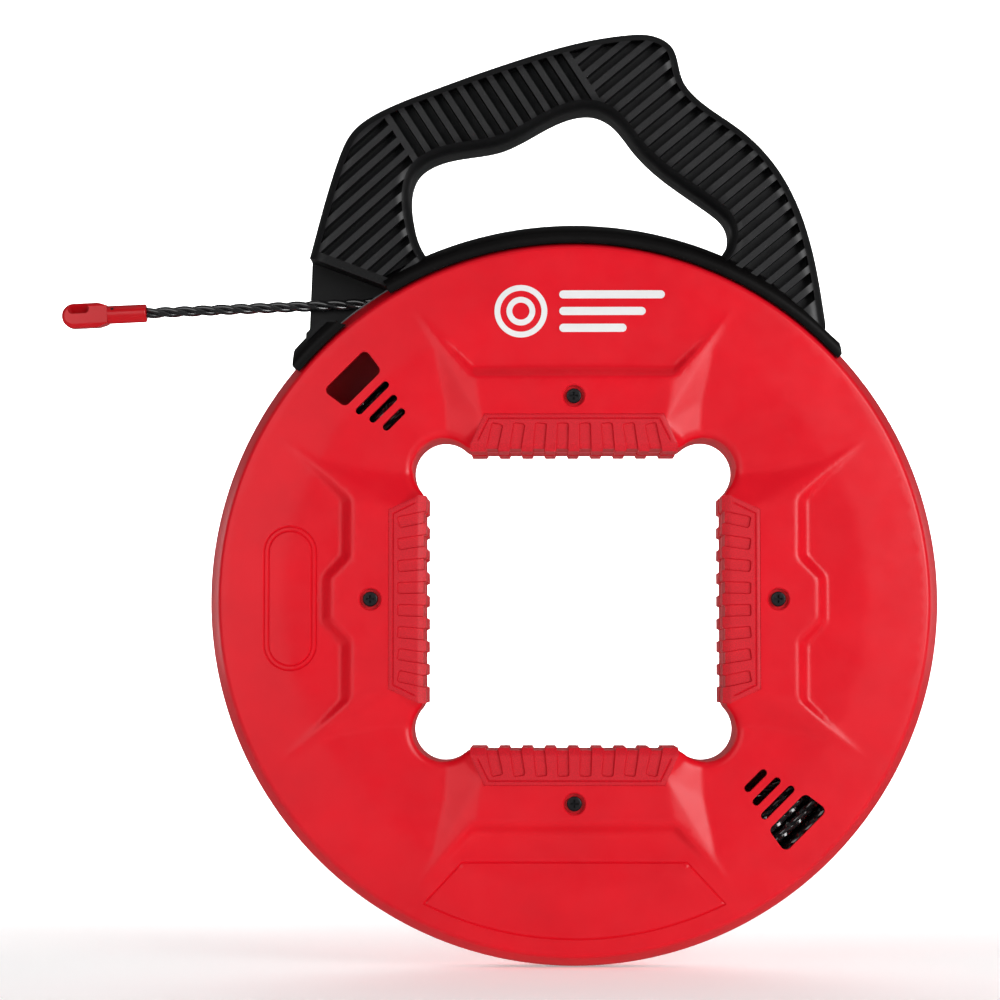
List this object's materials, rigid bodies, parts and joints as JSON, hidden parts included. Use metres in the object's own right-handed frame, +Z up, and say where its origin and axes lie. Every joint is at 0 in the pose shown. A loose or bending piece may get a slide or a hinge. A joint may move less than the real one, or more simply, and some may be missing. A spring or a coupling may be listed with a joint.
{
  "type": "fish tape reel",
  "caption": "Round case that winds a stiff twisted pulling tape; the hand grip rides its rim, the tape leaves beside the grip and ends in a slotted pulling eye.",
  "frame": {"origin": "centre of the round case and of its hand opening, on the plane where the two shells meet", "axes": "+Z up through the grip, -Y the front face with the screw heads, +X to the right as the front is seen; the case turns about Y"},
  "size_m": [0.3694, 0.049, 0.3916],
  "materials": {
    "case_red": "fine satin moulded plastic",
    "pad_red": "fine speckled texture",
    "handle_black": "satin moulded plastic",
    "rail_grey": "smooth, low friction",
    "screw_black": "black oxide",
    "steel": "bright steel",
    "tape_black": "glossy twisted strands",
    "tip_red": "smooth moulded plastic",
    "pin_dark": "dark pin end",
    "mark_white": "printed white"
  },
  "bodies": {
    "handle": {"handle": "handle_black", "glide_rail": "rail_grey", "guide_bush": "steel"},
    "case": {"front_shell": "case_red", "rear_shell": "case_red", "case_screws": "screw_black", "front_pad_top": "pad_red", "front_pad_left": "pad_red", "front_pad_bottom": "pad_red", "front_pad_right": "pad_red", "rear_pad_top": "pad_red", "rear_pad_left": "pad_red", "rear_pad_bottom": "pad_red", "rear_pad_right": "pad_red", "tape_coil": "tape_black", "anchor_clip": "steel", "anchor_screw": "steel", "tape_tail": "tape_black", "front_mark": "mark_white"},
    "tape": {"tape_lead": "tape_black", "tape_feed": "tape_black", "tape_tip": "tip_red", "tip_pin": "pin_dark"}
  },
  "joints": [
    {"name": "case_spin", "type": "hinge", "parent": "handle", "child": "case", "pos_m": [0, 0, 0], "axis": [0, 1, 0], "continuous": true},
    {"name": "tape_draw", "type": "slide", "parent": "handle", "child": "tape", "axis": [-0.9994, 0, -0.034], "range_m": [-0.069, 0.045]}
  ]
}
